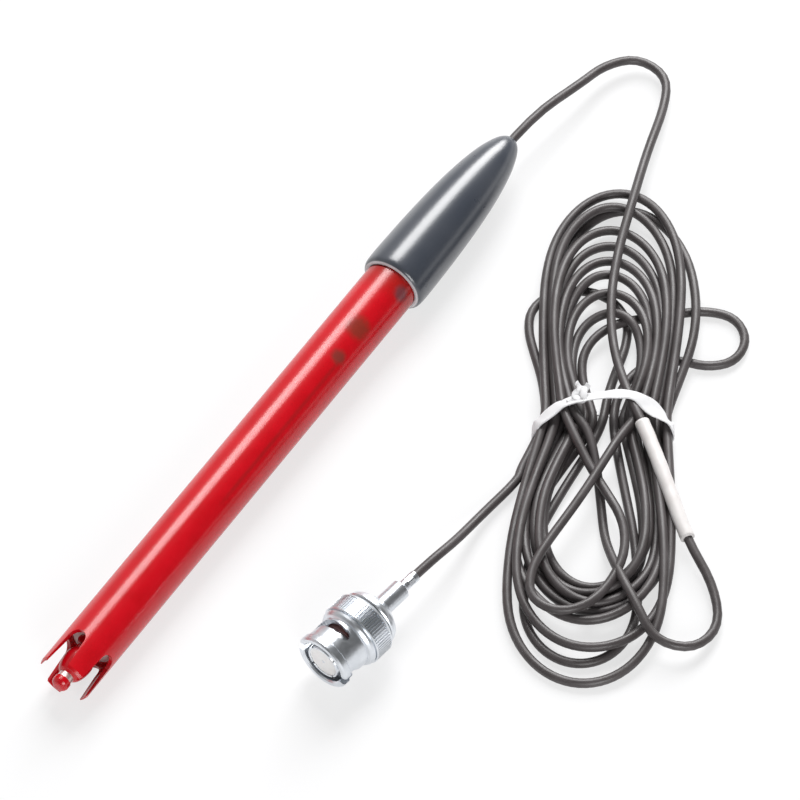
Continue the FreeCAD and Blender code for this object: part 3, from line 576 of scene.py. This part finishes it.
def hank_tie():
    """The strip's loop, a wrapped knot on top and two short ends, each a strip along its own path."""
    loop = tie_loop()
    n = len(loop)
    f = np.arange(n) / n
    centre = loop.mean(axis=0)
    outward = loop - centre
    outward = outward / np.linalg.norm(outward, axis=1)[:, None]
    wander = tie_bow(loop[:, 0]) + 0.4 * np.sin(2 * np.pi * f * 2 + 0.6) + 0.2 * np.sin(2 * np.pi * f * 5)
    path = in_space(wander, loop[:, 0], loop[:, 1])
    tip = 0.5 * np.sin(2 * np.pi * f * 3)
    way = outward[:, :1] * np.append(HANK_ACROSS, 0) + outward[:, 1:] * np.array([0, 0, 1.0])
    way = way + tip[:, None] * np.append(HANK_ALONG, 0)
    wide = TIE_HALF_WIDE * (1.0 + 0.22 * np.sin(2 * np.pi * f * 4 + 0.4) + 0.12 * np.sin(2 * np.pi * f * 9))
    parts = [strip(path, way, wide, TIE_HALF_THICK, closed=True)]
    top = loop[np.argmin(np.abs(loop[:, 0] - KNOT_ACROSS) - loop[:, 1]), 1] + 0.7
    for start, end, rise, bow in KNOT_ENDS:
        g = np.linspace(0, 1, 24)
        along = tie_bow(KNOT_ACROSS) + start[0] + (end[0] - start[0]) * g + bow * np.sin(np.pi * g)
        across = KNOT_ACROSS + start[1] + (end[1] - start[1]) * g
        height = top + rise * g - 0.25 * np.sin(np.pi * g)
        p = in_space(along, across, height)
        tilt = 0.9 * g
        way = np.cos(tilt)[:, None] * np.array([0, 0, 1.0])
        way = way + np.sin(tilt)[:, None] * np.append(HANK_ACROSS, 0)
        wide = END_HALF_WIDE * (1 + 0.25 * np.sin(7 * g) - 0.35 * g ** 4)
        parts.append(strip(p, way, wide, TIE_HALF_THICK))
    g = np.linspace(0, 2 * np.pi, 40, endpoint=False)
    along = tie_bow(KNOT_ACROSS) + 1.25 * np.cos(g)
    across = KNOT_ACROSS + 0.9 * np.sin(g) + 0.35 * np.cos(2 * g)
    wrap = in_space(along, across, top + 0.15 + 0.45 * np.sin(g + 0.5))
    parts.append(strip(wrap, np.tile([0, 0.15, 1.0], (40, 1)), 0.75 * MM, 0.4 * MM, closed=True))
    points, faces = joined(parts)
    return new_piece("hank_tie_strip", points, faces, "electrode")


tie = hank_tie()
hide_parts("hank_tie")


class Finish:
    """A material and short ways to add nodes to it."""

    def __init__(self, name):
        self.material = bpy.data.materials.new(name)
        self.material.use_nodes = True
        self.tree = self.material.node_tree
        self.shader = self.tree.nodes["Principled BSDF"]
        self.place = self.node("ShaderNodeTexCoord").outputs["Object"]

    def node(self, kind, **values):
        """A new node of a kind, with some of its settings."""
        made = self.tree.nodes.new(kind)
        for key, value in values.items():
            setattr(made, key, value)
        return made

    def link(self, a, b):
        """A link from one socket to another."""
        self.tree.links.new(a, b)

    def set(self, **values):
        """Plain values of the shader's own sockets, by their names in small letters."""
        for key, value in values.items():
            name = key.replace("_", " ").title().replace("Ior", "IOR")
            self.shader.inputs[name].default_value = value

    def noise(self, scale, detail=3.0, rough=0.5):
        """Noise at a scale per metre."""
        made = self.node("ShaderNodeTexNoise")
        made.inputs["Scale"].default_value = scale
        made.inputs["Detail"].default_value = detail
        made.inputs["Roughness"].default_value = rough
        self.link(self.place, made.inputs["Vector"])
        return made.outputs["Fac"]

    def ramp(self, value, stops):
        """Colour ramp of (place, colour) stops."""
        made = self.node("ShaderNodeValToRGB")
        bar = made.color_ramp.elements
        while len(bar) < len(stops):
            bar.new(0.5)
        for slot, (where, colour) in zip(bar, stops):
            slot.position = where
            slot.color = (*colour, 1.0)
        self.link(value, made.inputs["Fac"])
        return made.outputs["Color"]

    def spread(self, value, low, high):
        """A value from 0..1 carried to low..high."""
        made = self.node("ShaderNodeMapRange")
        made.inputs["To Min"].default_value = low
        made.inputs["To Max"].default_value = high
        self.link(value, made.inputs["Value"])
        return made.outputs["Result"]

    def bump(self, value, depth):
        """Relief of a depth in metres."""
        made = self.node("ShaderNodeBump")
        made.inputs["Strength"].default_value = 1.0
        made.inputs["Distance"].default_value = depth
        self.link(value, made.inputs["Height"])
        self.link(made.outputs["Normal"], self.shader.inputs["Normal"])

    def mix(self, factor, a, b):
        """Colour mix; a and b are sockets or colours."""
        made = self.node("ShaderNodeMix", data_type="RGBA")
        self.link(factor, made.inputs["Factor"])
        for name, value in (("A", a), ("B", b)):
            socket = [s for s in made.inputs if s.name == name and s.type == "RGBA"][0]
            if isinstance(value, tuple):
                socket.default_value = (*value, 1.0)
            else:
                self.link(value, socket)
        return [s for s in made.outputs if s.type == "RGBA"][0]

    def product(self, a, b):
        """Two values multiplied; b may be a number."""
        made = self.node("ShaderNodeMath", operation="MULTIPLY")
        self.link(a, made.inputs[0])
        if isinstance(b, float):
            made.inputs[1].default_value = b
        else:
            self.link(b, made.inputs[1])
        return made.outputs["Value"]

    def step(self, value, low, high):
        """0 at low, 1 at high, smooth between."""
        made = self.node("ShaderNodeMapRange", interpolation_type="SMOOTHSTEP")
        made.inputs["From Min"].default_value = low
        made.inputs["From Max"].default_value = high
        self.link(value, made.inputs["Value"])
        return made.outputs["Result"]

    def axis(self, source, name):
        """One coordinate of a vector."""
        made = self.node("ShaderNodeSeparateXYZ")
        self.link(source, made.inputs[0])
        return made.outputs[name]

    def band(self, name, low, high, soft):
        """1 between two places along one axis, in metres, 0 outside, with soft edges."""
        value = self.axis(self.place, name)
        rise = self.step(value, low - soft, low + soft)
        return self.product(rise, self.step(value, high + soft, high - soft))

    def spot(self, centre, reach, ragged):
        """1 at a centre in millimetres, 0 beyond reach, with a ragged soft edge."""
        away = self.node("ShaderNodeVectorMath", operation="DISTANCE")
        self.link(self.place, away.inputs[0])
        away.inputs[1].default_value = [c * MM for c in centre]
        made = self.node("ShaderNodeMath", operation="MULTIPLY_ADD")
        self.link(self.noise(900.0, 3.0, 0.6), made.inputs[0])
        made.inputs[1].default_value = ragged * MM
        self.link(away.outputs["Value"], made.inputs[2])
        return self.step(made.outputs["Value"], (reach + ragged) * MM, (0.45 * reach + 0.4 * ragged) * MM)


# Brown patches in the red: centre, reach and raggedness in millimetres, share, colour
RED_PATCHES = [
    ((21.4, -2.6, 12.4), 3.0, 1.6, 0.75, (0.15, 0.030, 0.016)),
    ((13.0, -3.2, 12.0), 1.9, 1.0, 0.75, (0.13, 0.035, 0.025)),
    ((34.6, -4.6, 11.2), 2.0, 0.9, 0.7, (0.09, 0.050, 0.060)),
]


def red_plastic():
    """Polished red. Parts inside show through as brown patches and a thin dark line, and the tube is painted
    browner just before the cap, a painted reflection of the cap."""
    f = Finish("red_plastic")
    f.set(ior=1.5, specular_ior_level=0.52)
    colour = f.ramp(f.noise(220.0, 3.0), [(0.3, (0.48, 0.001, 0.006)), (0.7, (0.54, 0.002, 0.009))])
    wire = f.product(f.band("X", -0.030, 0.0125, 0.004), f.band("Y", -0.0042, -0.0036, 0.0003))
    colour = f.mix(f.product(wire, 0.35), colour, (0.16, 0.012, 0.010))
    # Painted reflection of the cap: the last few millimetres of the tube before the cap are painted brown
    colour = f.mix(f.product(f.band("X", 0.0335, 0.060, 0.0032), 0.55), colour, (0.26, 0.016, 0.008))
    for centre, reach, ragged, share, brown in RED_PATCHES:
        colour = f.mix(f.product(f.spot(centre, reach, ragged), share), colour, brown)
    f.link(colour, f.shader.inputs["Base Color"])
    f.link(f.spread(f.noise(500.0, 3.0), 0.21, 0.27), f.shader.inputs["Roughness"])
    f.bump(f.noise(900.0, 2.0), 0.000004)
    return f.material


def slate_plastic():
    """Polished dark slate; the thin front face of the rim is painted pale, a painted highlight on its edge.
    """
    f = Finish("slate_plastic")
    f.set(ior=1.55, coat_weight=0.5, coat_roughness=0.24)
    colour = f.ramp(f.noise(90.0, 3.0), [(0.3, (0.042, 0.049, 0.064)), (0.7, (0.054, 0.060, 0.074))])
    facing = f.axis(f.node("ShaderNodeTexCoord").outputs["Normal"], "X")
    # Painted highlight: faces turned back towards the tip, within the rim's band, get a pale colour
    front = f.product(f.step(facing, -0.80, -0.98), f.band("X", 0.030, 0.0384, 0.0001))
    f.link(f.mix(front, colour, (0.60, 0.61, 0.63)), f.shader.inputs["Base Color"])
    f.link(f.spread(f.noise(350.0, 3.0), 0.25, 0.33), f.shader.inputs["Roughness"])
    f.bump(f.noise(700.0, 3.0), 0.000006)
    return f.material


def jacket():
    """Satin brownish black cable jacket with a faint drawn grain."""
    f = Finish("cable_jacket")
    f.set(ior=1.5, coat_weight=0.06, coat_roughness=0.22)
    colour = f.ramp(f.noise(180.0, 3.0), [(0.3, (0.046, 0.039, 0.039)), (0.7, (0.074, 0.065, 0.066))])
    f.link(colour, f.shader.inputs["Base Color"])
    f.link(f.spread(f.noise(130.0, 2.0), 0.30, 0.66), f.shader.inputs["Roughness"])
    f.bump(f.noise(2600.0, 2.0), 0.00001)
    return f.material


def white_plastic(name, low, high, rough, grain):
    """White or cream plastic with a slight grain."""
    f = Finish(name)
    f.set(ior=1.45)
    f.link(f.ramp(f.noise(300.0, 3.0), [(0.3, low), (0.7, high)]), f.shader.inputs["Base Color"])
    f.link(f.spread(f.noise(700.0, 2.0), rough - 0.06, rough + 0.08), f.shader.inputs["Roughness"])
    f.bump(f.noise(grain, 3.0), 0.00002)
    return f.material


def bright_metal(name, low, high, rough, relief):
    """Plated metal: slight stains, fine turning marks."""
    f = Finish(name)
    f.set(metallic=1.0)
    f.link(f.ramp(f.noise(400.0, 4.0), [(0.3, low), (0.7, high)]), f.shader.inputs["Base Color"])
    f.link(f.spread(f.noise(900.0, 4.0), rough - 0.05, rough + 0.10), f.shader.inputs["Roughness"])
    f.bump(f.noise(3000.0, 3.0), relief)
    return f.material


def clear(name, colour, rough):
    """Clear glass or gel."""
    f = Finish(name)
    f.set(ior=1.45, transmission_weight=1.0)
    f.link(f.ramp(f.noise(200.0, 2.0), [(0.3, colour), (0.7, tuple(min(1.0, c * 1.03) for c in colour))]),
           f.shader.inputs["Base Color"])
    f.link(f.spread(f.noise(500.0, 2.0), rough, rough + 0.04), f.shader.inputs["Roughness"])
    return f.material


def matt(name, low, high, rough, scale):
    """Matt stuff with two close colours and a fine grain."""
    f = Finish(name)
    f.link(f.ramp(f.noise(scale, 4.0), [(0.3, low), (0.7, high)]), f.shader.inputs["Base Color"])
    f.link(f.spread(f.noise(scale * 2, 3.0), rough - 0.08, rough + 0.08), f.shader.inputs["Roughness"])
    f.bump(f.noise(scale * 4, 3.0), 0.00003)
    return f.material


finishes = {
    "red_plastic": red_plastic(),
    "slate_plastic": slate_plastic(),
    "platinum": bright_metal("platinum", (0.76, 0.70, 0.67), (0.90, 0.79, 0.72), 0.42, 0.000004),
    "ceramic": matt("ceramic", (0.88, 0.86, 0.83), (0.94, 0.93, 0.91), 0.8, 3000.0),
    "glass": clear("glass", (0.93, 0.97, 0.97), 0.02),
    "silver": bright_metal("silver", (0.75, 0.74, 0.72), (0.85, 0.84, 0.82), 0.25, 0.000004),
    "pellet": matt("pellet", (0.16, 0.12, 0.12), (0.30, 0.24, 0.23), 0.8, 2500.0),
    "gel": clear("gel", (0.92, 0.92, 0.88), 0.05),
    "potting": matt("potting", (0.05, 0.03, 0.028), (0.10, 0.06, 0.05), 0.5, 800.0),
    "seal_rubber": matt("seal_rubber", (0.012, 0.012, 0.012), (0.03, 0.03, 0.03), 0.6, 1500.0),
    "cable_jacket": jacket(),
    "cable_core": white_plastic("cable_core", (0.78, 0.78, 0.75), (0.86, 0.86, 0.84), 0.4, 1500.0),
    "copper": bright_metal("copper", (0.62, 0.36, 0.22), (0.76, 0.48, 0.32), 0.3, 0.00002),
    "splice_metal": bright_metal("splice_metal", (0.68, 0.68, 0.69), (0.78, 0.78, 0.79), 0.3, 0.00001),
    "white_sleeve": white_plastic("white_sleeve", (0.66, 0.63, 0.62), (0.74, 0.72, 0.71), 0.40, 1500.0),
    "white_tie": white_plastic("white_tie", (0.66, 0.66, 0.67), (0.76, 0.76, 0.77), 0.45, 2500.0),
    "nickel": bright_metal("nickel", (0.66, 0.69, 0.73), (0.78, 0.81, 0.85), 0.30, 0.000010),
    "white_insulator": white_plastic("white_insulator", (0.84, 0.84, 0.83), (0.92, 0.92, 0.91), 0.4, 1500.0),
    "gasket_rubber": matt("gasket_rubber", (0.07, 0.03, 0.028), (0.11, 0.04, 0.036), 0.6, 1500.0),
    "spring_steel": bright_metal("spring_steel", (0.50, 0.48, 0.45), (0.62, 0.60, 0.56), 0.28, 0.000008),
}

slot_of = {s["node"]: s["material_slot"] for s in frame["record"]["subparts"]}
for name, node in nodes.items():
    node.data.materials.clear()
    node.data.materials.append(finishes[slot_of[name]])
cable.data.materials.append(finishes["cable_jacket"])
sleeve.data.materials.append(finishes["white_sleeve"])
tie.data.materials.append(finishes["white_tie"])
cap.data.materials.append(finishes["slate_plastic"])


def seen(tree):
    """1 for rays from the camera and for those that metal, gloss and glass send on, 0 for those that only
    light things."""
    path = tree.nodes.new("ShaderNodeLightPath")
    total = path.outputs["Is Camera Ray"]
    for name in ("Is Glossy Ray", "Is Transmission Ray"):
        add = tree.nodes.new("ShaderNodeMath")
        add.operation = "ADD"
        add.use_clamp = True
        tree.links.new(total, add.inputs[0])
        tree.links.new(path.outputs[name], add.inputs[1])
        total = add.outputs["Value"]
    return total


# Floor: half its side in metres, the share that glows where it is seen, and how strongly
FLOOR_HALF = 3.0
GLOW_SHARE = 0.66
GLOW = 1.05


def make_floor():
    """A wide pale floor at height 0 that glows a little where it is seen, so that it is white there and still
    keeps a third of the object's shadow."""
    mesh = bpy.data.meshes.new("floor")
    corners = [(x * FLOOR_HALF, y * FLOOR_HALF, 0) for x, y in ((-1, -1), (1, -1), (1, 1), (-1, 1))]
    mesh.from_pydata(corners, [], [(0, 1, 2, 3)])
    floor = bpy.data.objects.new("floor", mesh)
    bpy.context.scene.collection.objects.link(floor)
    material = bpy.data.materials.new("pale_floor")
    material.use_nodes = True
    tree = material.node_tree
    shader = tree.nodes["Principled BSDF"]
    shader.inputs["Base Color"].default_value = (0.72, 0.72, 0.73, 1)
    shader.inputs["Roughness"].default_value = 0.7
    shader.inputs["Specular IOR Level"].default_value = 0.2
    glow = tree.nodes.new("ShaderNodeEmission")
    glow.inputs["Color"].default_value = (1, 1, 1, 1)
    glow.inputs["Strength"].default_value = GLOW
    blend = tree.nodes.new("ShaderNodeMixShader")
    part = tree.nodes.new("ShaderNodeMath")
    part.operation = "MULTIPLY"
    part.inputs[1].default_value = GLOW_SHARE
    tree.links.new(seen(tree), part.inputs[0])
    tree.links.new(part.outputs[0], blend.inputs["Fac"])
    tree.links.new(shader.outputs[0], blend.inputs[1])
    tree.links.new(glow.outputs[0], blend.inputs[2])
    tree.links.new(blend.outputs[0], tree.nodes["Material Output"].inputs["Surface"])
    floor.data.materials.append(material)


def soft_light(name, way, distance, long_side, short_side, power):
    """A rectangular lamp that faces the object from a direction, its long side as near to +X as it can be."""
    data = bpy.data.lights.new(name, "AREA")
    data.shape = "RECTANGLE"
    data.size = long_side
    data.size_y = short_side
    data.energy = power
    lamp = bpy.data.objects.new(name, data)
    bpy.context.scene.collection.objects.link(lamp)
    back = Vector(way).normalized()
    side = (Vector((1.0, 0.0, 0.0)) - back * back.x).normalized()
    turn = Matrix([side, back.cross(side), back]).transposed().to_4x4()
    lamp.matrix_world = Matrix.Translation(back * distance + Vector((0.02, -0.03, 0.0))) @ turn


# Room: its light on the near and the far side, the places along Y between which it rises, and the places
# above the floor between which its white wall ends, as parts of a direction of length 1
ROOM_LIGHT = (0.10, 0.5)
ROOM_RISE = (-0.1, 0.75)
WALL_END = (0.12, 0.07)


def make_light():
    """A room that is bright on the far side, dark on the near side and white where it meets the floor, a long
    lamp over the object that stretches away to the far end, and a weak one in front."""
    world = bpy.data.worlds.new("room")
    world.use_nodes = True
    tree = world.node_tree
    back = tree.nodes["Background"]
    place = tree.nodes.new("ShaderNodeTexCoord")
    parts = tree.nodes.new("ShaderNodeSeparateXYZ")
    rise = tree.nodes.new("ShaderNodeMapRange")
    rise.interpolation_type = "SMOOTHSTEP"
    rise.inputs["From Min"].default_value = ROOM_RISE[0]
    rise.inputs["From Max"].default_value = ROOM_RISE[1]
    rise.inputs["To Min"].default_value = ROOM_LIGHT[0]
    rise.inputs["To Max"].default_value = ROOM_LIGHT[1]
    tree.links.new(place.outputs["Generated"], parts.inputs[0])
    tree.links.new(parts.outputs["Y"], rise.inputs["Value"])
    wall = tree.nodes.new("ShaderNodeMapRange")
    wall.interpolation_type = "SMOOTHSTEP"
    wall.inputs["From Min"].default_value = WALL_END[0]
    wall.inputs["From Max"].default_value = WALL_END[1]
    tree.links.new(parts.outputs["Z"], wall.inputs["Value"])
    white = tree.nodes.new("ShaderNodeMath")
    white.operation = "MULTIPLY"
    tree.links.new(wall.outputs["Result"], white.inputs[0])
    tree.links.new(seen(tree), white.inputs[1])
    pick = tree.nodes.new("ShaderNodeMath")
    pick.operation = "MAXIMUM"
    tree.links.new(rise.outputs["Result"], pick.inputs[0])
    tree.links.new(white.outputs["Value"], pick.inputs[1])
    tree.links.new(pick.outputs["Value"], back.inputs["Strength"])
    back.inputs["Color"].default_value = (1, 1, 1, 1)
    bpy.context.scene.world = world
    soft_light("overhead", (0.70, 0.31, 0.645), 1.1, 1.02, 0.50, 20.0)
    soft_light("front", (-0.60, -0.70, 0.45), 1.2, 0.60, 0.60, 9.0)


make_floor()
make_light()
bpy.context.scene.view_settings.view_transform = "Standard"
